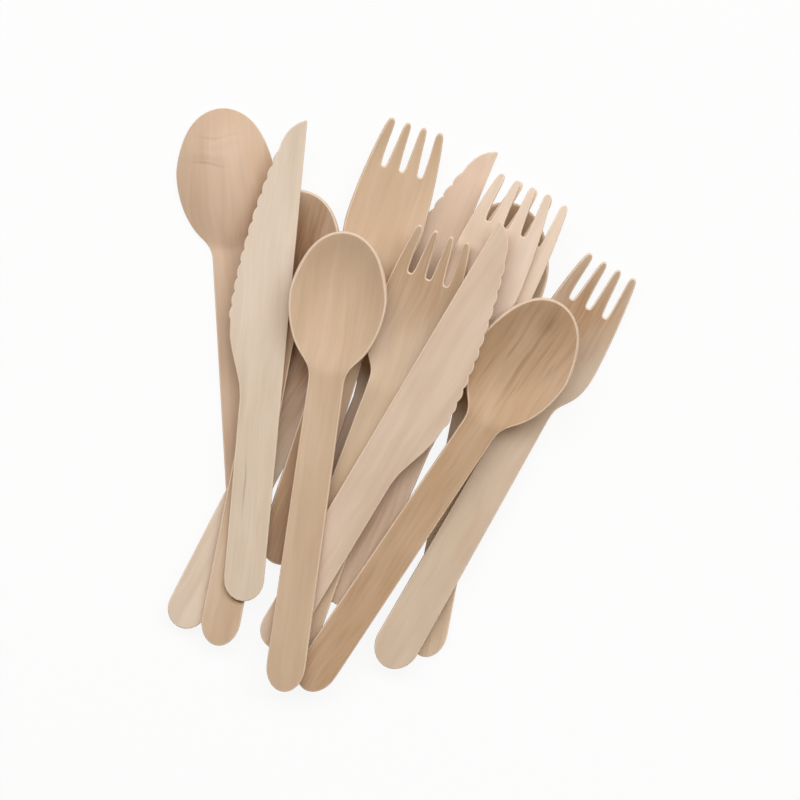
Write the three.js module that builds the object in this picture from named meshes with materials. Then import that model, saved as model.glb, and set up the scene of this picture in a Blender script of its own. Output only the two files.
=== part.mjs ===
// A loose pack of wooden cutlery: spoons, forks and knives of birch veneer lying in one heap.
// Sizes are in millimetres, +Z is up and the heap lies on z = 0. A single piece is made with
// x across it and y along it from the handle end, then it is turned and laid on the heap.
import * as THREE from 'three';
import { mergeVertices } from 'three/addons/utils/BufferGeometryUtils.js';

const SHEET = 1.7;
const CLEARANCE = 0.3;
const HANDLE_ROUND = 9;
const NECK_FILLET = 1;
const DISH_SOFTNESS = 0.12;

const SPOON_LENGTH = 160;
const SPOON_HANDLE_WIDTH = 13.5;
const SPOON_NECK_WIDTH = 12.2;
const BOWL_WIDTH = 33.8;
const BOWL_LENGTH = 49.5;
const BOWL_FRONT = 23;
const BOWL_FLANK = 26.5;
const BOWL_DEPTH = 6;
const BOWL_POINT = 1.22;

const FORK_LENGTH = 158.8;
const FORK_HANDLE_WIDTH = 15.5;
const FORK_NECK_WIDTH = 13.5;
const FORK_HEAD_WIDTH = 27.4;
const FORK_TIP_WIDTH = 19.6;
const FORK_HEAD_LENGTH = 38.6;
const FORK_FLANK = 16;
const FORK_DIP = 4;
const FORK_DIP_REACH = 32;
const FORK_DIP_TO_TIP = 26.5;
const FORK_DIP_SIDE = 30;
const SLOT_DEPTH = 17;
const SLOT_CORNER = 0.8;
const SLOT_FLOOR = 0.62;
const SLOT_ROOT_WIDTH = 2.1;
const SLOT_MOUTH_WIDTH = 3.9;
const SLOT_ROOT_PITCH = 6.7;
const SLOT_MOUTH_PITCH = 5.8;
const TINE_SHOULDER = 0.28;
const TINE_ROUND = 1.3;

const KNIFE_LENGTH = 167;
const KNIFE_HANDLE_ROUND = 7.5;
const KNIFE_HANDLE_WIDTH = 13.8;
const KNIFE_SPINE = 8;
const KNIFE_HEEL = 13.2;
const BLADE_LENGTH = 97;
const HEEL_TO_TIP = 73;
const HEEL_SWEEP = 7;
const EDGE_RISE = 15.4;
const EDGE_CURVE = 1.7;
const TIP_ROUND = 1;
const TIP_BELLY = 2.8;
const HEEL_TO_TEETH = 2;
const TOOTH_PITCH = 4.95;
const TOOTH_DEPTH = 0.7;
const TOOTH_COUNT = 12;

const FORK_COLUMNS = 21;
const BOWL_COLUMNS = 14;
const BOWL_ROWS = 8;
const MAP_CELL = 0.6;
const MAP_WIDTH = 280;
const PITCH_LIMIT = 0.3;
const ROLL_LIMIT = 0.09;
const LAYING_PASSES = 5;

const PALE_BIRCH = { color: 0xdcc5a8, roughness: 0.72 };
const TAN_BIRCH = { color: 0xcfb08a, roughness: 0.72 };
const BROWN_BIRCH = { color: 0xb0906c, roughness: 0.75 };

const mix = THREE.MathUtils.lerp;

// Depth of a pressed hollow: deepest at its middle, running out softly into the flat sheet.
function hollow(across, along, shape) {
  const reach = along < shape.middle ? shape.back : shape.front;
  const inside = 1 - ((along - shape.middle) / reach) ** 2 - (across / shape.side) ** 2;
  if (inside <= 0) {
    return 0;
  }
  return -shape.depth * (1 + DISH_SOFTNESS) * inside * inside / (inside + DISH_SOFTNESS);
}

// Half the width of a piece whose straight handle swells into a head along part of an ellipse.
function swell(along, handleHalf, head) {
  const part = THREE.MathUtils.clamp((head.middle - along) / head.flank, 0, 1);
  const flank = head.half * Math.sqrt(1 - part * part);
  return 0.5 * (handleHalf + flank + Math.hypot(handleHalf - flank, NECK_FILLET));
}

// One row of points across a piece; a bulge bends the row forwards into an arc.
function arcRow(spread, half, along, bulge, point = 1) {
  return spread.map((part) => {
    const side = Math.sign(part) * Math.abs(part) ** point;
    return [half * side, along + bulge * Math.sqrt(Math.max(0, 1 - part * part))];
  });
}

// Shares of the half width that space the columns evenly round an arc.
function arcSpread(columns) {
  return Array.from({ length: columns + 1 }, (_, column) => Math.sin(Math.PI * (column / columns - 0.5)));
}

// Shares of the half width that space the columns evenly across a row.
function evenSpread(columns) {
  return Array.from({ length: columns + 1 }, (_, column) => 2 * column / columns - 1);
}

// A closed sheet of even thickness over a grid of plan points; isWood leaves out the slots.
function pressedSheet(rows, press, isWood) {
  const upper = [];
  const lower = [];
  const nudge = 0.01;
  for (const row of rows) {
    for (const [across, along] of row) {
      const slopeX = (press(across + nudge, along) - press(across - nudge, along)) / (2 * nudge);
      const slopeY = (press(across, along + nudge) - press(across, along - nudge)) / (2 * nudge);
      const middle = new THREE.Vector3(across, along, press(across, along));
      const halfSheet = new THREE.Vector3(-slopeX, -slopeY, 1).setLength(SHEET / 2);
      upper.push(middle.clone().add(halfSheet));
      lower.push(middle.clone().sub(halfSheet));
    }
  }
  const columns = rows[0].length;
  const corners = [];
  const rim = new Map();
  for (let row = 0; row + 1 < rows.length; row += 1) {
    for (let column = 0; column + 1 < columns; column += 1) {
      if (!isWood(row, column)) {
        continue;
      }
      const first = row * columns + column;
      const ring = [first, first + 1, first + columns + 1, first + columns];
      corners.push(...[0, 1, 2, 0, 2, 3].map((place) => upper[ring[place]]));
      corners.push(...[0, 2, 1, 0, 3, 2].map((place) => lower[ring[place]]));
      ring.forEach((start, place) => {
        const end = ring[(place + 1) % 4];
        if (!rim.delete(`${end} ${start}`)) {
          rim.set(`${start} ${end}`, [start, end]);
        }
      });
    }
  }
  for (const [start, end] of rim.values()) {
    corners.push(upper[start], lower[start], lower[end], upper[start], lower[end], upper[end]);
  }
  return mergeVertices(new THREE.BufferGeometry().setFromPoints(corners));
}

// A spoon: flat handle, neck, and an egg-shaped bowl pressed down from the sheet.
function spoonBlank() {
  const neck = SPOON_LENGTH - BOWL_LENGTH;
  const head = { middle: SPOON_LENGTH - BOWL_FRONT, flank: BOWL_FLANK, half: BOWL_WIDTH / 2 };
  const bowl = { middle: head.middle, back: BOWL_FLANK, front: BOWL_FRONT, side: head.half, depth: BOWL_DEPTH };
  const halfWidth = (along) => {
    return swell(along, mix(SPOON_HANDLE_WIDTH, SPOON_NECK_WIDTH, along / neck) / 2, head);
  };
  const spread = arcSpread(BOWL_COLUMNS);
  const rows = [arcRow(spread, SPOON_HANDLE_WIDTH / 2, HANDLE_ROUND, -HANDLE_ROUND)];
  for (const along of [HANDLE_ROUND * 1.4, neck * 0.4, neck * 0.7, neck - 11, neck - 4, neck - 1]) {
    rows.push(arcRow(spread, halfWidth(along), along, 0));
  }
  for (let row = 1; row <= BOWL_ROWS; row += 1) {
    const part = row / BOWL_ROWS;
    const along = mix(neck - 1, head.middle, part);
    rows.push(arcRow(spread, halfWidth(along), along, BOWL_FRONT * part ** 1.2, mix(1, BOWL_POINT, part ** 3)));
  }
  return pressedSheet(rows, (across, along) => hollow(across, along, bowl), () => true);
}

// Points across the tines of a fork: edges and shoulders of four tines, edges and floors of three slots.
function tineRow(along, half) {
  const part = (along - FORK_LENGTH + SLOT_DEPTH) / SLOT_DEPTH;
  const slot = mix(SLOT_ROOT_WIDTH, SLOT_MOUTH_WIDTH, part) / 2;
  const pitch = mix(SLOT_ROOT_PITCH, SLOT_MOUTH_PITCH, part);
  const floor = slot * SLOT_FLOOR;
  const tine = (from, to) => [TINE_SHOULDER, 1 - TINE_SHOULDER].map((share) => mix(from, to, share));
  const inner = [floor, slot, ...tine(slot, pitch - slot), pitch - slot, pitch - floor];
  const outer = [pitch + floor, pitch + slot, ...tine(pitch + slot, half), half];
  const side = [...inner, ...outer];
  return [...side.map((across) => -across).reverse(), ...side].map((across) => [across, along]);
}

// A fork: flat handle, wide shallow head and four tines that taper to rounded tips.
function forkBlank() {
  const neck = FORK_LENGTH - FORK_HEAD_LENGTH - FORK_FLANK;
  const head = { middle: FORK_LENGTH - FORK_HEAD_LENGTH, flank: FORK_FLANK, half: FORK_HEAD_WIDTH / 2 };
  const dip = {
    middle: FORK_LENGTH - FORK_DIP_TO_TIP,
    back: FORK_DIP_REACH,
    front: FORK_DIP_REACH,
    side: FORK_DIP_SIDE,
    depth: FORK_DIP,
  };
  const halfWidth = (along) => {
    const reach = Math.max(0, along - head.middle) / FORK_HEAD_LENGTH;
    const taper = reach * reach * (FORK_HEAD_WIDTH - FORK_TIP_WIDTH) / 2;
    return swell(along, mix(FORK_HANDLE_WIDTH, FORK_NECK_WIDTH, Math.min(1, along / neck)) / 2, head) - taper;
  };
  const root = FORK_LENGTH - SLOT_DEPTH + SLOT_CORNER;
  const spread = evenSpread(FORK_COLUMNS);
  const rows = [arcRow(arcSpread(FORK_COLUMNS), FORK_HANDLE_WIDTH / 2, HANDLE_ROUND, -HANDLE_ROUND)];
  const handleStations = [HANDLE_ROUND * 1.4, neck * 0.4, neck * 0.72, neck - 8, neck - 2];
  const headStations = [0.06, 0.17, 0.3, 0.44, 0.58, 0.78].map((part) => mix(neck, root, part));
  for (const along of [...handleStations, ...headStations]) {
    const even = arcRow(spread, halfWidth(along), along, 0);
    const share = THREE.MathUtils.smoothstep(along, neck, root);
    rows.push(tineRow(along, halfWidth(along)).map(([across], column) => [mix(even[column][0], across, share), along]));
  }
  const rootRow = rows.length;
  const isSlotFloor = (column) => column % 6 > 3;
  rows.push(tineRow(root, halfWidth(root)).map(([across, along], column) => {
    return [across, isSlotFloor(column) ? along - SLOT_CORNER : along];
  }));
  for (const part of [0.4, 0.75]) {
    const along = mix(root, FORK_LENGTH - TINE_ROUND, part);
    rows.push(tineRow(along, halfWidth(along)));
  }
  const isTineShoulder = (column) => column % 6 === 1 || column % 6 === 2;
  const tip = FORK_LENGTH - TINE_ROUND;
  rows.push(tineRow(tip, halfWidth(tip)).map(([across, along], column) => {
    return [across, isTineShoulder(column) ? along + TINE_ROUND : along];
  }));
  const isWood = (row, column) => row < rootRow || column % 6 < 3;
  return pressedSheet(rows, (across, along) => hollow(across, along, dip), isWood);
}

// A knife: flat handle, a heel that swells towards the edge, and a row of low rounded teeth.
function knifeBlank() {
  const half = KNIFE_HANDLE_WIDTH / 2;
  const blade = KNIFE_LENGTH - BLADE_LENGTH;
  const heel = KNIFE_LENGTH - HEEL_TO_TIP;
  const edgeAt = (along) => EDGE_RISE * ((along - heel) / HEEL_TO_TIP) ** EDGE_CURVE - KNIFE_HEEL;
  const firstTooth = heel + HEEL_TO_TEETH;
  const lastTooth = firstTooth + TOOTH_COUNT * TOOTH_PITCH;
  const outline = new THREE.Shape();
  outline.moveTo(half, KNIFE_HANDLE_ROUND);
  outline.lineTo(KNIFE_SPINE, KNIFE_LENGTH - TIP_ROUND);
  outline.quadraticCurveTo(KNIFE_SPINE, KNIFE_LENGTH, KNIFE_SPINE - TIP_ROUND, KNIFE_LENGTH - TIP_ROUND / 2);
  const notchAt = (along) => edgeAt(along) + TOOTH_DEPTH;
  const belly = mix(edgeAt(lastTooth), KNIFE_SPINE, 0.25);
  outline.quadraticCurveTo(belly, KNIFE_LENGTH - TIP_BELLY, notchAt(lastTooth), lastTooth);
  for (let tooth = TOOTH_COUNT - 1; tooth >= 0; tooth -= 1) {
    const along = firstTooth + tooth * TOOTH_PITCH;
    const middle = along + TOOTH_PITCH / 2;
    outline.quadraticCurveTo(edgeAt(middle) - TOOTH_DEPTH, middle, notchAt(along), along);
  }
  outline.bezierCurveTo(-KNIFE_HEEL, heel - HEEL_SWEEP, -half, blade + HEEL_SWEEP, -half, blade);
  outline.lineTo(-half, KNIFE_HANDLE_ROUND);
  outline.absellipse(0, KNIFE_HANDLE_ROUND, half, KNIFE_HANDLE_ROUND, Math.PI, 2 * Math.PI, false);
  const plate = new THREE.ExtrudeGeometry(outline, { depth: SHEET, bevelEnabled: false, curveSegments: 5 });
  plate.translate(0, 0, -SHEET / 2);
  plate.deleteAttribute('normal');
  plate.deleteAttribute('uv');
  return mergeVertices(plate);
}

// The heap from the bottom up: where each handle ends on plan and how far the piece leans from +Y to +X.
const HEAP = [
  { name: 'knife_1', blank: knifeBlank, end: [-36.7, -66.2], lean: 22, wood: PALE_BIRCH },
  { name: 'spoon_1', blank: spoonBlank, end: [7.2, -88.7], lean: 11.1, wood: BROWN_BIRCH },
  { name: 'spoon_2', blank: spoonBlank, end: [-52.5, -58.7], lean: -3.6, faceDown: true, wood: TAN_BIRCH },
  { name: 'knife_2', blank: knifeBlank, end: [-77.3, -78.2], lean: 27.2, wood: PALE_BIRCH },
  { name: 'spoon_3', blank: spoonBlank, end: [-64.1, -84.6], lean: 11.1, wood: BROWN_BIRCH },
  { name: 'fork_1', blank: forkBlank, end: [-43.7, -56.6], lean: 17.8, wood: TAN_BIRCH },
  { name: 'fork_2', blank: forkBlank, end: [-26.3, -69.1], lean: 28.2, faceDown: true, wood: PALE_BIRCH },
  { name: 'fork_3', blank: forkBlank, end: [-22.4, -70.8], lean: 24.2, faceDown: true, wood: PALE_BIRCH },
  { name: 'fork_4', blank: forkBlank, end: [-6.2, -91.7], lean: 29.7, wood: TAN_BIRCH },
  { name: 'fork_5', blank: forkBlank, end: [-40.7, -91.5], lean: 20.5, wood: TAN_BIRCH },
  { name: 'knife_3', blank: knifeBlank, end: [-55.1, -69.3], lean: 5, wood: PALE_BIRCH },
  { name: 'spoon_4', blank: spoonBlank, end: [-33.8, -99.7], lean: 33.6, wood: BROWN_BIRCH },
  { name: 'knife_4', blank: knifeBlank, end: [-45.9, -85.3], lean: 31.1, faceDown: true, wood: PALE_BIRCH },
  { name: 'spoon_5', blank: spoonBlank, end: [-41.2, -100.3], lean: 8.2, wood: TAN_BIRCH },
];

// Calls visit for every map cell under a geometry, once for each face above that cell.
function eachCell(geometry, visit) {
  const [a, b, c] = [new THREE.Vector3(), new THREE.Vector3(), new THREE.Vector3()];
  const toCell = (value) => (value + MAP_WIDTH / 2) / MAP_CELL - 0.5;
  const { index, attributes } = geometry;
  for (let face = 0; face < index.count; face += 3) {
    [a, b, c].forEach((corner, place) => corner.fromBufferAttribute(attributes.position, index.getX(face + place)));
    const area = (b.x - a.x) * (c.y - a.y) - (c.x - a.x) * (b.y - a.y);
    if (Math.abs(area) < 1e-6) {
      continue;
    }
    const lastColumn = Math.floor(toCell(Math.max(a.x, b.x, c.x)));
    const lastRow = Math.floor(toCell(Math.max(a.y, b.y, c.y)));
    for (let row = Math.ceil(toCell(Math.min(a.y, b.y, c.y))); row <= lastRow; row += 1) {
      const y = (row + 0.5) * MAP_CELL - MAP_WIDTH / 2;
      for (let column = Math.ceil(toCell(Math.min(a.x, b.x, c.x))); column <= lastColumn; column += 1) {
        const x = (column + 0.5) * MAP_CELL - MAP_WIDTH / 2;
        const shareB = ((x - a.x) * (c.y - a.y) - (c.x - a.x) * (y - a.y)) / area;
        const shareC = ((b.x - a.x) * (y - a.y) - (x - a.x) * (b.y - a.y)) / area;
        if (shareB >= 0 && shareC >= 0 && shareB + shareC <= 1) {
          visit(column, row, x, y, a.z + shareB * (b.z - a.z) + shareC * (c.z - a.z));
        }
      }
    }
  }
}

const MAP_SIDE = Math.round(MAP_WIDTH / MAP_CELL);

// How far a piece leaning that way would have to rise at each cell to clear what lies under it.
function risesNeeded(geometry, lean, tops) {
  const under = new Map();
  eachCell(geometry, (column, row, x, y, z) => {
    const cell = row * MAP_SIDE + column;
    const known = under.get(cell);
    if (!known || z < known.z) {
      under.set(cell, { x, y, z });
    }
  });
  const centre = new THREE.Vector3();
  under.forEach((spot) => centre.add(spot));
  centre.divideScalar(under.size);
  const needs = Array.from(under, ([cell, spot]) => {
    const [x, y] = [spot.x - centre.x, spot.y - centre.y];
    return {
      along: x * Math.sin(lean) + y * Math.cos(lean),
      across: x * Math.cos(lean) - y * Math.sin(lean),
      rise: tops[cell] + CLEARANCE - spot.z,
    };
  });
  return { centre, needs };
}

// Value between two limits at which a cost with a single valley is lowest.
function lowest(low, high, cost) {
  for (let step = 0; step < 30; step += 1) {
    const third = (high - low) / 3;
    if (cost(low + third) < cost(high - third)) {
      high -= third;
    } else {
      low += third;
    }
  }
  return (low + high) / 2;
}

// The slopes that bring the middle of a piece as low as what lies under it allows.
function restingSlopes(needs, rolled) {
  const riseAt = (pitch, roll) => {
    let rise = -Infinity;
    for (const need of needs) {
      rise = Math.max(rise, need.rise - pitch * need.along - roll * need.across);
    }
    return rise;
  };
  const bestPitch = (roll) => lowest(-PITCH_LIMIT, PITCH_LIMIT, (pitch) => riseAt(pitch, roll));
  const roll = lowest(-ROLL_LIMIT - rolled, ROLL_LIMIT - rolled, (value) => riseAt(bestPitch(value), value));
  const pitch = bestPitch(roll);
  return { pitch, roll, rise: riseAt(pitch, roll) };
}

// Sinks a piece onto the heap, tilting it until it rests, and adds its top to the map.
function layOnHeap(geometry, lean, tops) {
  const up = new THREE.Vector3(0, 0, 1);
  const turn = new THREE.Quaternion();
  let rolled = 0;
  for (let pass = 0; pass < LAYING_PASSES; pass += 1) {
    const { centre, needs } = risesNeeded(geometry, lean, tops);
    const { pitch, roll, rise } = restingSlopes(needs, rolled);
    const slopeX = pitch * Math.sin(lean) + roll * Math.cos(lean);
    const slopeY = pitch * Math.cos(lean) - roll * Math.sin(lean);
    turn.setFromUnitVectors(up, new THREE.Vector3(-slopeX, -slopeY, 1).normalize());
    geometry.translate(-centre.x, -centre.y, -centre.z);
    geometry.applyQuaternion(turn);
    geometry.translate(centre.x, centre.y, centre.z + rise);
    rolled += roll;
  }
  const { needs } = risesNeeded(geometry, lean, tops);
  geometry.computeBoundingBox();
  geometry.translate(0, 0, Math.max(-geometry.boundingBox.min.z, ...needs.map((need) => need.rise)));
  eachCell(geometry, (column, row, x, y, z) => {
    for (let cell = 0; cell < 9; cell += 1) {
      const place = (row - 1 + Math.floor(cell / 3)) * MAP_SIDE + column - 1 + cell % 3;
      tops[place] = Math.max(tops[place], z);
    }
  });
}

const group = new THREE.Group();
group.name = 'wooden_cutlery_pack';
const tops = new Float32Array(MAP_SIDE * MAP_SIDE).fill(-CLEARANCE);
for (const piece of HEAP) {
  const geometry = piece.blank();
  if (piece.faceDown) {
    geometry.rotateY(Math.PI);
  }
  const lean = THREE.MathUtils.degToRad(piece.lean);
  geometry.rotateZ(-lean);
  geometry.translate(piece.end[0], piece.end[1], 0);
  layOnHeap(geometry, lean, tops);
  geometry.computeVertexNormals();
  const mesh = new THREE.Mesh(geometry, new THREE.MeshStandardMaterial({ ...piece.wood, metalness: 0 }));
  mesh.name = piece.name;
  group.add(mesh);
}
const box = new THREE.Box3().setFromObject(group);
const middle = box.getCenter(new THREE.Vector3());
group.children.forEach((mesh) => mesh.geometry.translate(-middle.x, -middle.y, -box.min.z));

export default group;
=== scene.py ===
# %% [markdown]
# # A heap of wooden cutlery
# Fourteen pieces of pressed birch veneer lie across each other: spoons, forks and knives. The solid
# model already says how every piece is shaped and how it rests on the heap, so it is loaded first
# and stays fixed. This lesson gives each piece the soft edges and the grain of the real wood.

# %% Load the solid model
import math

import bmesh
import bpy
import numpy as np
from mathutils import Matrix, Vector


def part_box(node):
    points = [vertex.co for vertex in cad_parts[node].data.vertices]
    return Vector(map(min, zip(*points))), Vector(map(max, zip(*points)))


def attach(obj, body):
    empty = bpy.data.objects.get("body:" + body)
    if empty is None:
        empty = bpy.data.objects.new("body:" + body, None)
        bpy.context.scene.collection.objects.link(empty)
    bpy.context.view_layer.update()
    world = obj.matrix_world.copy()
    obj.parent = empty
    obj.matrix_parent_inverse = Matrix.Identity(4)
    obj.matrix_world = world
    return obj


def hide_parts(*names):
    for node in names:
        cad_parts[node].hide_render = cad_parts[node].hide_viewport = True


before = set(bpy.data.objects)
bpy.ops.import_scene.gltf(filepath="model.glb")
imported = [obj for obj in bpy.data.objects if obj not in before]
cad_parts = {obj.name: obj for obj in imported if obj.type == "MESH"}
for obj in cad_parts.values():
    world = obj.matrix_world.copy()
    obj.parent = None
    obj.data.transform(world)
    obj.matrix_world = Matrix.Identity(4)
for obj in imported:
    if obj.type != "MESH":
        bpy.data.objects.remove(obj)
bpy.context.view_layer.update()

# %% [markdown]
# ## The camera
# The photograph looks straight down on the heap from far away, so the pieces keep their plan shape.
# A long lens two metres up does the same. One pixel of the picture is 0.345 mm on the table.

# %% Camera
PIXEL = 0.160 / 463.5
PICTURE = 800 * PIXEL
CAMERA_HEIGHT = 2.0
camera_data = bpy.data.cameras.new("overhead_camera")
camera_data.sensor_width = 36
camera_data.lens = camera_data.sensor_width * CAMERA_HEIGHT / PICTURE
camera = bpy.data.objects.new("overhead_camera", camera_data)
camera.location = (-0.0008, -0.0003, CAMERA_HEIGHT)
bpy.context.collection.objects.link(camera)
bpy.context.scene.camera = camera
bpy.context.scene.view_settings.view_transform = "Standard"
print("lens", round(camera_data.lens, 1), "mm for a picture", round(PICTURE, 4), "m wide")

# %% [markdown]
# ## Colours and nodes
# Colours are written as they would be picked from a screen, in sRGB, and Blender mixes light in
# linear values, so one small function turns one into the other. A second one adds a shader node,
# sets it and plugs in what feeds it, which keeps the materials below short.

# %% Two helpers for materials
def linear(hex_colour):
    channels = [int(hex_colour[place:place + 2], 16) / 255 for place in (1, 3, 5)]
    return (*[c / 12.92 if c <= 0.04045 else ((c + 0.055) / 1.055) ** 2.4 for c in channels], 1.0)


def add_node(tree, kind, feeds=None, **settings):
    node = tree.nodes.new(kind)
    for name, value in settings.items():
        setattr(node, name, value)
    for socket, value in (feeds or {}).items():
        if isinstance(value, bpy.types.NodeSocket):
            tree.links.new(value, node.inputs[socket])
        else:
            node.inputs[socket].default_value = value
    return node


print("pale birch in linear values", [round(c, 3) for c in linear("#D9C3AB")])

# %% [markdown]
# ## Table and light
# The heap lies on a plain white surface under a large soft lamp that stands towards the top of the
# picture, so the near slopes of the bowls are lighter than the far ones. The sky fills the shadows,
# a little warm, as light that has bounced between wooden pieces is. The camera sees the table nearly
# white, and the shadows of the heap still fall on it.

# %% Table
FLOOR_SIDE = 6.0
FLOOR_DROP = 0.0002
GLOW_SHARE = 0.9
bpy.ops.object.select_all(action="DESELECT")
bpy.ops.mesh.primitive_plane_add(size=FLOOR_SIDE, location=(0, 0, -FLOOR_DROP))
bpy.ops.object.transform_apply(location=True)
table = bpy.context.object
table.name = "white_table"
white_table = bpy.data.materials.new("white_table_card")
white_table.use_nodes = True
tree = white_table.node_tree
tree.nodes.clear()
path = add_node(tree, "ShaderNodeLightPath")
card = add_node(tree, "ShaderNodeBsdfDiffuse", {"Color": linear("#F4F3F1")})
glow = add_node(tree, "ShaderNodeEmission", {"Color": (1, 1, 1, 1), "Strength": 1.0})
seen = add_node(tree, "ShaderNodeMath", {
    0: path.outputs["Is Camera Ray"], 1: path.outputs["Is Glossy Ray"]}, operation="MAXIMUM")
seen = add_node(tree, "ShaderNodeMath", {
    0: seen.outputs[0], 1: path.outputs["Is Transmission Ray"]}, operation="MAXIMUM")
share = add_node(tree, "ShaderNodeMath", {0: seen.outputs[0], 1: GLOW_SHARE}, operation="MULTIPLY")
both = add_node(tree, "ShaderNodeMixShader", {0: share.outputs[0], 1: card.outputs[0], 2: glow.outputs[0]})
add_node(tree, "ShaderNodeOutputMaterial", {"Surface": both.outputs[0]})
table.data.materials.append(white_table)
print("table", FLOOR_SIDE, "m wide")

# %% Lamp and sky
LAMP_PLACE = (0.15, 0.7, 1.3)
LAMP_WIDTH, LAMP_DEPTH, LAMP_POWER = 3.8, 0.8, 37
SKY_STRENGTH = 0.21
lamp_data = bpy.data.lights.new("window_lamp", "AREA")
lamp_data.shape = "RECTANGLE"
lamp_data.size = LAMP_WIDTH
lamp_data.size_y = LAMP_DEPTH
lamp_data.energy = LAMP_POWER
lamp_data.color = linear("#F4F8FF")[:3]
lamp = bpy.data.objects.new("window_lamp", lamp_data)
lamp.location = LAMP_PLACE
lamp.rotation_euler = (-lamp.location).to_track_quat("-Z", "Y").to_euler()
bpy.context.collection.objects.link(lamp)
sky = bpy.data.worlds.new("studio_sky")
sky.use_nodes = True
backdrop = sky.node_tree.nodes["Background"]
backdrop.inputs["Color"].default_value = linear("#FFDDB4")
backdrop.inputs["Strength"].default_value = SKY_STRENGTH
bpy.context.scene.world = sky
print("lamp", lamp_data.energy, "W at", LAMP_PLACE)

# %% [markdown]
# ## How each piece lies
# Wood grain runs along a piece, and a press works square to its sheet, whichever way it lies in the
# heap. So each piece gets a frame of its own, measured from its solid: up is the direction of the
# largest upper face, which is on the flat handle, along is the long axis of its corners, and the
# zero point is the middle of the handle's end, half way through the sheet.

# %% A frame for every piece
MILLIMETRE = 0.001
SHEET = 1.7 * MILLIMETRE
FACE_UP = 0.5


def lie_of(name):
    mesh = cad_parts[name].data
    largest = max((face for face in mesh.polygons if face.normal.z > FACE_UP), key=lambda face: face.area)
    up = largest.normal.normalized()
    corners = np.unique(np.round([vertex.co for vertex in mesh.vertices], 6), axis=0)
    flat = corners - np.outer(corners @ np.array(up), up)
    along = Vector(np.linalg.svd(flat - flat.mean(axis=0), full_matrices=False)[2][0])
    along = along if along.y > 0 else -along
    across = along.cross(up)
    side = corners @ np.array(across)
    start = across * float(side.min() + side.max()) / 2 + along * float((corners @ np.array(along)).min())
    start += up * (largest.center.dot(up) - SHEET / 2)
    lie = Matrix((across, along, up)).transposed().to_4x4()
    lie.translation = start
    return lie


lies = {name: lie_of(name) for name in sorted(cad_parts)}
for name, lie in lies.items():
    print(name, "leans", round(math.degrees(math.atan2(lie[0][1], lie[1][1])), 1), "degrees")

# %% [markdown]
# ## Birch veneer
# The cutlery is cut from rotary-peeled birch: a dense pale wood, sanded and hot-pressed without
# varnish, so it is matt with a faint satin. Its pores are too small to see, but the yearly growth
# shows as soft bands and fine lengthways lines, and wood from nearer the heart of the log is browner
# with darker streaks. Noise stretched along the grain gives all of these, and a slow noise pushes it
# sideways so that no line is ruled straight. A few single marks are placed where the photograph shows
# them, each a soft ellipse that breaks up along the fibres, with a tint of its own. Some are the wood's
# own colour, where it turns browner or paler, and some are painted shade, darkening wood that lies
# under other pieces or in a hollow turned from the lamp. All distances are in millimetres in the
# piece's own frame.

# %% The birch material
DARK_GRAIN = "#7A5433"
GRAIN = {"cloud": (10, 45, 2), "band": (2.6, 70, 2), "streak": (1.3, 22, 4), "fibre": (0.7, 16, 2)}
SWAY_ACROSS, SWAY_ALONG = 16, 22


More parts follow.
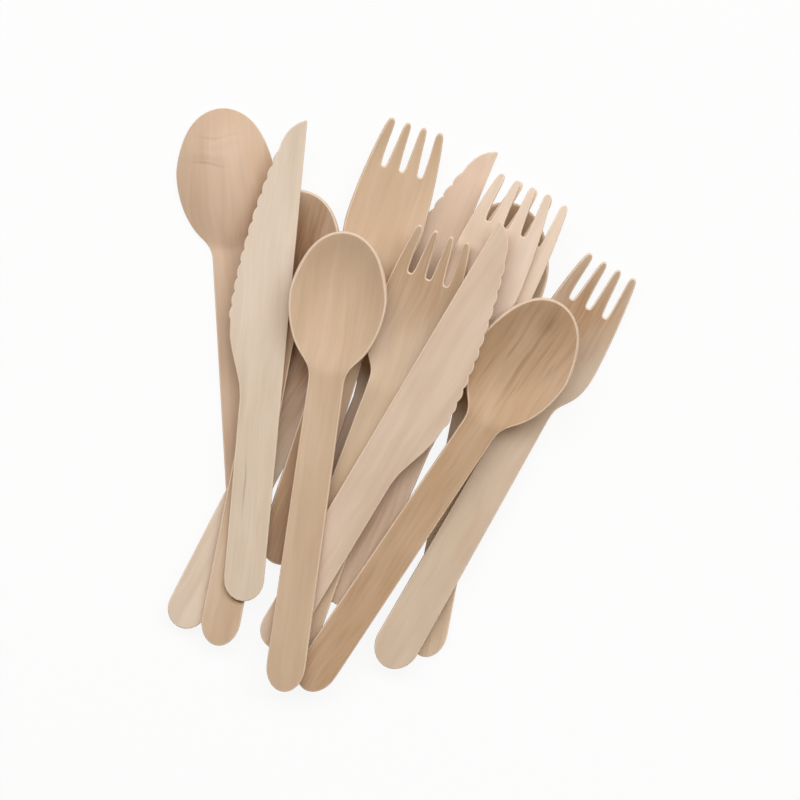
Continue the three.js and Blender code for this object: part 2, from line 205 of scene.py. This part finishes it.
def birch(name, lie, light, dark, streak=0.05, wave=2.0, marks_and_shade=(), shift=0.0):
    material = bpy.data.materials.new(name)
    material.use_nodes = True
    tree = material.node_tree
    tree.nodes.clear()
    place = add_node(tree, "ShaderNodeTexCoord")
    own = add_node(tree, "ShaderNodeMapping", {
        "Vector": place.outputs["Object"], "Location": tuple(lie.translation),
        "Rotation": tuple(lie.to_euler()), "Scale": (MILLIMETRE,) * 3}, vector_type="TEXTURE")
    slow = add_node(tree, "ShaderNodeMapping", {
        "Vector": own.outputs[0], "Location": (shift, shift, 0), "Scale": (1 / SWAY_ACROSS, 1 / SWAY_ALONG, 0)})
    push = add_node(tree, "ShaderNodeTexNoise", {"Vector": slow.outputs[0], "Scale": 1.0, "Detail": 1.0})
    centred = add_node(tree, "ShaderNodeVectorMath", {0: push.outputs["Color"], 1: (0.5, 0.5, 0.5)},
                       operation="SUBTRACT")
    sideways = add_node(tree, "ShaderNodeVectorMath", {0: centred.outputs[0], 1: (wave * 2, 8, 0)},
                        operation="MULTIPLY")
    wavy = add_node(tree, "ShaderNodeVectorMath", {0: own.outputs[0], 1: sideways.outputs[0]}, operation="ADD")
    grain = {}
    for layer, (across, along, detail) in GRAIN.items():
        stretched = add_node(tree, "ShaderNodeMapping", {
            "Vector": wavy.outputs[0], "Location": (shift, shift * 1.7, 0),
            "Scale": (1 / across, 1 / along, 0.05)})
        grain[layer] = add_node(tree, "ShaderNodeTexNoise", {
            "Vector": stretched.outputs[0], "Scale": 1.0, "Detail": detail, "Roughness": 0.55}).outputs["Fac"]
    cloud = add_node(tree, "ShaderNodeMapRange", {"Value": grain["cloud"], "From Min": 0.3, "From Max": 0.7})
    colour = add_node(tree, "ShaderNodeMixRGB", {
        "Fac": cloud.outputs[0], "Color1": linear(light), "Color2": linear(dark)}).outputs[0]
    dip = add_node(tree, "ShaderNodeMapRange", {
        "Value": grain["streak"], "From Min": 0.48, "From Max": 0.72, "To Max": streak})
    colour = add_node(tree, "ShaderNodeMixRGB", {
        "Fac": dip.outputs[0], "Color1": colour, "Color2": linear(DARK_GRAIN)}).outputs[0]
    broken = add_node(tree, "ShaderNodeMapRange", {
        "Value": grain["streak"], "From Min": 0.3, "From Max": 0.6, "To Min": 0.55})
    # Each mark is a soft ellipse of tint: some are the wood's own colour, some are painted shade.
    for across, along, half_width, half_length, strength, *tint in marks_and_shade:
        spot = add_node(tree, "ShaderNodeMapping", {
            "Vector": wavy.outputs[0], "Location": (across, along, 0),
            "Scale": (half_width, half_length, 1000)}, vector_type="TEXTURE")
        away = add_node(tree, "ShaderNodeVectorMath", {0: spot.outputs[0]}, operation="LENGTH")
        fade = add_node(tree, "ShaderNodeMapRange", {
            "Value": away.outputs["Value"], "To Min": strength, "To Max": 0.0}, interpolation_type="SMOOTHSTEP")
        fade = add_node(tree, "ShaderNodeMath", {
            0: fade.outputs[0], 1: broken.outputs[0]}, operation="MULTIPLY")
        colour = add_node(tree, "ShaderNodeMixRGB", {
            "Fac": fade.outputs[0], "Color1": colour, "Color2": linear(*tint or (DARK_GRAIN,))}).outputs[0]
    for layer, low, high in (("band", 0.972, 1.024), ("fibre", 0.98, 1.016)):
        tint = add_node(tree, "ShaderNodeMapRange", {
            "Value": grain[layer], "From Min": 0.35, "From Max": 0.65, "To Min": low, "To Max": high})
        colour = add_node(tree, "ShaderNodeMixRGB", {
            "Fac": 1.0, "Color1": colour, "Color2": tint.outputs[0]}, blend_type="MULTIPLY").outputs[0]
    satin = add_node(tree, "ShaderNodeMapRange", {"Value": grain["band"], "To Min": 0.56, "To Max": 0.7})
    relief = add_node(tree, "ShaderNodeBump", {"Height": grain["fibre"], "Strength": 0.1, "Distance": 0.0002})
    wood = add_node(tree, "ShaderNodeBsdfPrincipled", {
        "Base Color": colour, "Roughness": satin.outputs[0], "IOR": 1.45, "Normal": relief.outputs[0]})
    add_node(tree, "ShaderNodeOutputMaterial", {"Surface": wood.outputs[0]})
    return material


print("grain lines", GRAIN["fibre"][0], "mm across and", GRAIN["fibre"][1], "mm along")

# %% [markdown]
# ## One tone for each piece
# No two sheets of veneer have the same colour. The pale pieces come from the outside of the log, the
# brown spoon at the right from its heart, with dark wavy streaks. The face-down spoon shows crosswise
# marks on its bowl, and the knife at the left one dark growth line along its handle. Some marks are
# painted shade. The heads of two forks are darker, partly browner wood and partly painted shade in
# hollows that face away from the lamp. The spoon behind the top one is darker over its bowl, partly
# browner wood and partly painted shade where the pieces above it shade it, and its handle and the
# handles of two more forks carry painted shade where they lie deep between other pieces. The tip of
# the face-down spoon's bowl is darkened a little, painted shade that softens the lamp on its back. A
# mark says how far across and along it sits, its half width and half length, its strength and its tint.

# %% Tones
TONES = {
    "knife_1": dict(light="#E8CFB8", dark="#DDC2A8"),
    "spoon_1": dict(light="#E6D1B5", dark="#D8BE9F", streak=0.1),
    # spoon_2: the first mark is painted shade over the tip of the bowl's back; the thin crosswise ones are
    # press marks.
    "spoon_2": dict(light="#DDC2A7", dark="#D1B496", marks_and_shade=(
        (0, 158, 24, 14, 0.4, "#C9A98A"), (-5.5, 140, 9, 1.0, 0.24), (-6, 142, 11, 2.6, 0.13),
        (-2, 149.5, 12, 0.9, 0.14), (0, 146, 13, 2.2, 0.07))),
    # knife_2: darker and browner over its blade and most of its handle, the handle end left pale.
    "knife_2": dict(light="#E6D4BF", dark="#DCC7AE", marks_and_shade=((0, 105, 30, 60, 0.85, "#A0754D"),)),
    # spoon_3: the bowl mark is partly browner wood and partly painted shade from the pieces above; the handle
    # mark is painted shade.
    "spoon_3": dict(light="#DCC4A8", dark="#CAAA88", streak=0.08, marks_and_shade=(
        (0, 137, 28, 32, 0.9, "#96683F"), (0, 80, 30, 55, 0.7, "#9E734B"))),
    # fork_1: painted shade along the handle, which lies deep between the pieces beside it.
    "fork_1": dict(light="#DCC0A0", dark="#CFB08E", marks_and_shade=((0, 10, 30, 70, 0.6, "#A0754D"),)),
    "fork_2": dict(light="#F1DECA", dark="#E6CFB7"),
    # fork_3: painted shade along the handle, which lies deep between the pieces beside it.
    "fork_3": dict(light="#EEDAC6", dark="#E2CAB1", marks_and_shade=((0, 30, 30, 65, 0.6, "#B08A66"),)),
    # fork_4 and fork_5: the head marks are partly browner wood and partly painted shade in the pressed hollows.
    "fork_4": dict(light="#DFCCB4", dark="#D2BA9E", marks_and_shade=((0, 142, 24, 28, 0.85, "#AC8258"),)),
    "fork_5": dict(light="#DBC4A8", dark="#CDB393", marks_and_shade=((0, 142, 24, 28, 0.65, "#B08860"),)),
    "knife_3": dict(light="#E4D3BD", dark="#D9C6AC", marks_and_shade=(
        (0, 125, 30, 55, 0.5, "#F0E0CF"), (0.3, 40, 0.5, 15, 0.42), (2.6, 30, 0.35, 12, 0.14))),
    "spoon_4": dict(light="#D2B493", dark="#C3A07B", streak=0.2, wave=1.4, marks_and_shade=(
        (0, 138, 19, 26, 0.2), (0, 152, 4, 8, 0.35), (0.6, 136, 1.3, 20, 0.4), (10, 137, 0.8, 8, 0.4),
        (-5.3, 137, 0.8, 9, 0.3), (5, 142, 0.6, 14, 0.25), (-9.5, 128, 0.6, 8, 0.25),
        (3.2, 124, 0.7, 10, 0.25))),
    "knife_4": dict(light="#E5CEB7", dark="#DAC1A7"),
    "spoon_5": dict(light="#D9BFA1", dark="#CFB292"),
}
veneers = {}
for number, (name, tone) in enumerate(TONES.items()):
    veneers[name] = birch(name + "_birch_veneer", lies[name], shift=37.0 * number, **tone)
print("made", len(veneers), "veneers")

# %% [markdown]
# ## The cut edge
# The die leaves a cut edge that shows the ends and sides of the fibres. It was never pressed against
# the hot mould, so it is rougher than the faces. Its paler speckle is partly the real pale cut wood and
# partly painted highlight, standing in for the light that the rounded rim catches, and it draws the
# thin light line round each piece. Its colour follows the piece's own tone.

# %% Cut edge material
FIBRE_SPACING = 1.4 * MILLIMETRE


def cut_edge(name, tone):
    material = bpy.data.materials.new(name)
    material.use_nodes = True
    tree = material.node_tree
    tree.nodes.clear()
    place = add_node(tree, "ShaderNodeTexCoord")
    stretch = add_node(tree, "ShaderNodeMapping", {
        "Vector": place.outputs["Object"], "Scale": (1 / FIBRE_SPACING, 1 / FIBRE_SPACING, 3 / FIBRE_SPACING)})
    speckle = add_node(tree, "ShaderNodeTexNoise", {"Vector": stretch.outputs[0], "Scale": 1.0, "Detail": 2.0})
    # Paler cut wood mixed with painted highlight along the rounded rim.
    pale_and_highlight = add_node(tree, "ShaderNodeMapRange", {
        "Value": speckle.outputs["Fac"], "To Min": 0.2, "To Max": 0.9})
    colour = add_node(tree, "ShaderNodeMixRGB", {
        "Fac": pale_and_highlight.outputs[0], "Color1": linear(tone), "Color2": linear("#F4E0C8")})
    rough = add_node(tree, "ShaderNodeMapRange", {
        "Value": speckle.outputs["Fac"], "To Min": 0.7, "To Max": 0.85})
    wood = add_node(tree, "ShaderNodeBsdfPrincipled", {
        "Base Color": colour.outputs[0], "Roughness": rough.outputs[0], "IOR": 1.45})
    add_node(tree, "ShaderNodeOutputMaterial", {"Surface": wood.outputs[0]})
    return material


edges = {name: cut_edge(name + "_die_cut_edge_and_highlight", tone["light"]) for name, tone in TONES.items()}
print("cut edge fibres about", FIBRE_SPACING, "m apart")

# %% [markdown]
# ## The flat blank
# A factory punches a flat blank with a die, and only then presses the bowl. The blank is made in the
# same order here. A copy of a solid is laid in its own frame, its upper face is kept and joined into
# one outline, and the outline is flattened. Subdividing rounds its short straight steps; a knife
# keeps its sharp notches, so it isn't subdivided. Two small functions then finish what subdividing
# leaves too pointed: the front of the bowl follows an ellipse, and the tines stay blunt at their tips.
# Solidify gives the sheet its thickness, and the rim on both sides is rounded as tumbling leaves it.

# %% Finer outlines of the die
BOWL_MIDDLE, BOWL_FRONT, BOWL_SIDE = 135.5, 24, 16.9
BOWL_NARROWING = 0.03
FORK_LENGTH, SLOT_DEPTH = 159, 17
ROOT_PITCH, TIP_PITCH = 6.7, 5.8
TINE_WIDENING = 0.26


def round_bowl(across, along):
    if along < BOWL_MIDDLE:
        return across, along
    turn = math.atan2(across / BOWL_SIDE, (along - BOWL_MIDDLE) / BOWL_FRONT)
    narrow = 1 - BOWL_NARROWING * math.sin(math.pi * math.cos(turn)) ** 2
    return BOWL_SIDE * math.sin(turn) * narrow, BOWL_MIDDLE + BOWL_FRONT * math.cos(turn)


def blunt_tines(across, along):
    reach = (along - FORK_LENGTH + SLOT_DEPTH) / SLOT_DEPTH
    if reach < 0:
        return across, along
    pitch = ROOT_PITCH + (TIP_PITCH - ROOT_PITCH) * reach
    tine = min(max(math.floor(across / pitch), -2), 1) + 0.5
    wider = TINE_WIDENING * reach ** 3
    return tine * pitch * (1 - wider / 10) + (across - tine * pitch) * (1 + wider), along


print("bowl rim at its widest and at its tip", round_bowl(BOWL_SIDE, BOWL_MIDDLE), round_bowl(0, 160), "mm")

# %% Cutting a blank
RIM_ROUND = 0.42 * MILLIMETRE


def open_for_editing(piece):
    bpy.ops.object.select_all(action="DESELECT")
    piece.select_set(True)
    bpy.context.view_layer.objects.active = piece
    bpy.ops.object.mode_set(mode="EDIT")
    bpy.ops.mesh.select_mode(type="FACE")
    bpy.ops.mesh.select_all(action="SELECT")


def apply_modifier(piece, kind, **settings):
    modifier = piece.modifiers.new(kind.lower(), kind)
    for name, value in settings.items():
        setattr(modifier, name, value)
    bpy.ops.object.modifier_apply(modifier=modifier.name)


def select_rim(piece):
    bpy.ops.mesh.select_mode(type="EDGE")
    bpy.ops.mesh.select_all(action="DESELECT")
    mesh = bmesh.from_edit_mesh(piece.data)
    for face in mesh.faces:
        face.material_index = 0 if abs(face.normal.z) > FACE_UP else 1
    for edge in mesh.edges:
        flat = [abs(face.normal.z) > FACE_UP for face in edge.link_faces]
        edge.select_set(len(flat) == 2 and flat[0] != flat[1])
    bmesh.update_edit_mesh(piece.data)


def cut_blank(title, name, outline=None):
    blank = bpy.data.objects.new(title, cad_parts[name].data.copy())
    bpy.context.collection.objects.link(blank)
    blank.data.transform(lies[name].inverted())
    blank.data.materials.clear()
    blank.data.materials.append(veneers[name])
    blank.data.materials.append(edges[name])
    open_for_editing(blank)
    bpy.ops.mesh.remove_doubles(threshold=0.01 * MILLIMETRE)
    mesh = bmesh.from_edit_mesh(blank.data)
    for face in mesh.faces:
        face.select_set(face.normal.z < FACE_UP)
    bmesh.update_edit_mesh(blank.data)
    bpy.ops.mesh.delete(type="FACE")
    bpy.ops.mesh.select_all(action="SELECT")
    bpy.ops.mesh.dissolve_faces()
    bpy.ops.transform.resize(value=(1, 1, 0), center_override=(0, 0, 0))
    bpy.ops.object.mode_set(mode="OBJECT")
    if outline:
        apply_modifier(blank, "SUBSURF", levels=2, render_levels=2)
        open_for_editing(blank)
        bpy.ops.mesh.dissolve_faces()
        bpy.ops.object.mode_set(mode="OBJECT")
        for vertex in blank.data.vertices:
            across, along = outline(vertex.co.x / MILLIMETRE, vertex.co.y / MILLIMETRE)
            vertex.co = (across * MILLIMETRE, along * MILLIMETRE, 0)
    apply_modifier(blank, "SOLIDIFY", thickness=SHEET, offset=0)
    open_for_editing(blank)
    bpy.ops.mesh.normals_make_consistent(inside=False)
    select_rim(blank)
    bpy.ops.mesh.bevel(offset=RIM_ROUND, segments=2, affect="EDGES", material=1)
    bpy.ops.object.mode_set(mode="OBJECT")
    print(title, "blank", [round(side / MILLIMETRE, 1) for side in blank.dimensions], "mm")
    return blank


spoon = cut_blank("spoon_blank", "spoon_5", round_bowl)
fork = cut_blank("fork_blank", "fork_4", blunt_tines)
knife = cut_blank("knife_blank", "knife_3")

# %% [markdown]
# ## Pressing the bowl and the tines
# A flat face has no corners inside it to bend, so straight cuts are laid across and along the part
# that goes under the mould. Then every corner moves as the wet veneer does: its place in the sheet
# follows the mould's hollow, and the sheet keeps its thickness square to the slope.

# %% The mould
DISH_SOFTNESS = 0.12
NUDGE = 0.01


def score(blank, across_at, along_at):
    cuts = [((0, along, 0), (0, 1, 0)) for along in along_at]
    cuts += [((across, 0, 0), (1, 0, 0)) for across in across_at]
    for place, normal in cuts:
        open_for_editing(blank)
        bpy.ops.mesh.bisect(plane_co=Vector(place) * MILLIMETRE, plane_no=normal)
        bpy.ops.object.mode_set(mode="OBJECT")


def press(blank, middle, back, front, side, depth):
    def hollow(across, along):
        reach = back if along < middle else front
        inside = 1 - ((along - middle) / reach) ** 2 - (across / side) ** 2
        return -depth * (1 + DISH_SOFTNESS) * inside * inside / (inside + DISH_SOFTNESS) if inside > 0 else 0.0

    for vertex in blank.data.vertices:
        x, y, z = vertex.co / MILLIMETRE
        slope_x = (hollow(x + NUDGE, y) - hollow(x - NUDGE, y)) / (2 * NUDGE)
        slope_y = (hollow(x, y + NUDGE) - hollow(x, y - NUDGE)) / (2 * NUDGE)
        through = z / math.sqrt(1 + slope_x ** 2 + slope_y ** 2)
        pressed = Vector((x - slope_x * through, y - slope_y * through, hollow(x, y) + through))
        vertex.co = pressed * MILLIMETRE


score(spoon, np.arange(-15, 16, 1.5), np.arange(106, 160, 1.5))
press(spoon, middle=137, back=26.5, front=23, side=BOWL_SIDE, depth=6)
score(fork, np.arange(-12, 13, 3), np.arange(98, 158, 2))
press(fork, middle=132.3, back=32, front=32, side=30, depth=4)
print("spoon", len(spoon.data.polygons), "faces, fork", len(fork.data.polygons), "faces")

# %% [markdown]
# ## Laying out the heap
# Each piece of the heap is a copy of its finished blank with a mesh of its own, turned over where it
# lies face down, and moved to its lie. Weighted normals keep the flat faces flat beside the rounded
# rim, so the light doesn't smear across a handle.

# %% The fourteen pieces
SMOOTH_ANGLE = math.radians(50)
FACE_DOWN = ("spoon_2", "fork_2", "fork_3", "knife_4")
BLANKS = {"spoon": spoon, "fork": fork, "knife": knife}
for name in TONES:
    piece = bpy.data.objects.new(name + "_wood", BLANKS[name.split("_")[0]].data.copy())
    bpy.context.collection.objects.link(piece)
    if name in FACE_DOWN:
        piece.data.transform(Matrix.Rotation(math.pi, 4, "Y"))
    piece.data.transform(lies[name])
    piece.data.materials[0] = veneers[name]
    piece.data.materials[1] = edges[name]
    bpy.ops.object.select_all(action="DESELECT")
    piece.select_set(True)
    bpy.context.view_layer.objects.active = piece
    bpy.ops.object.shade_smooth_by_angle(angle=SMOOTH_ANGLE)
    apply_modifier(piece, "WEIGHTED_NORMAL", keep_sharp=True, weight=80)
    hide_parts(name)
    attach(piece, "root")
    low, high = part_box(name)
    points = np.array([vertex.co for vertex in piece.data.vertices])
    off = [(points.min(axis=0) - low) / MILLIMETRE, (points.max(axis=0) - high) / MILLIMETRE]
    print(name, len(points), "corners, off the solid by", *np.round(off, 2), "mm")
for blank in BLANKS.values():
    bpy.data.objects.remove(blank)
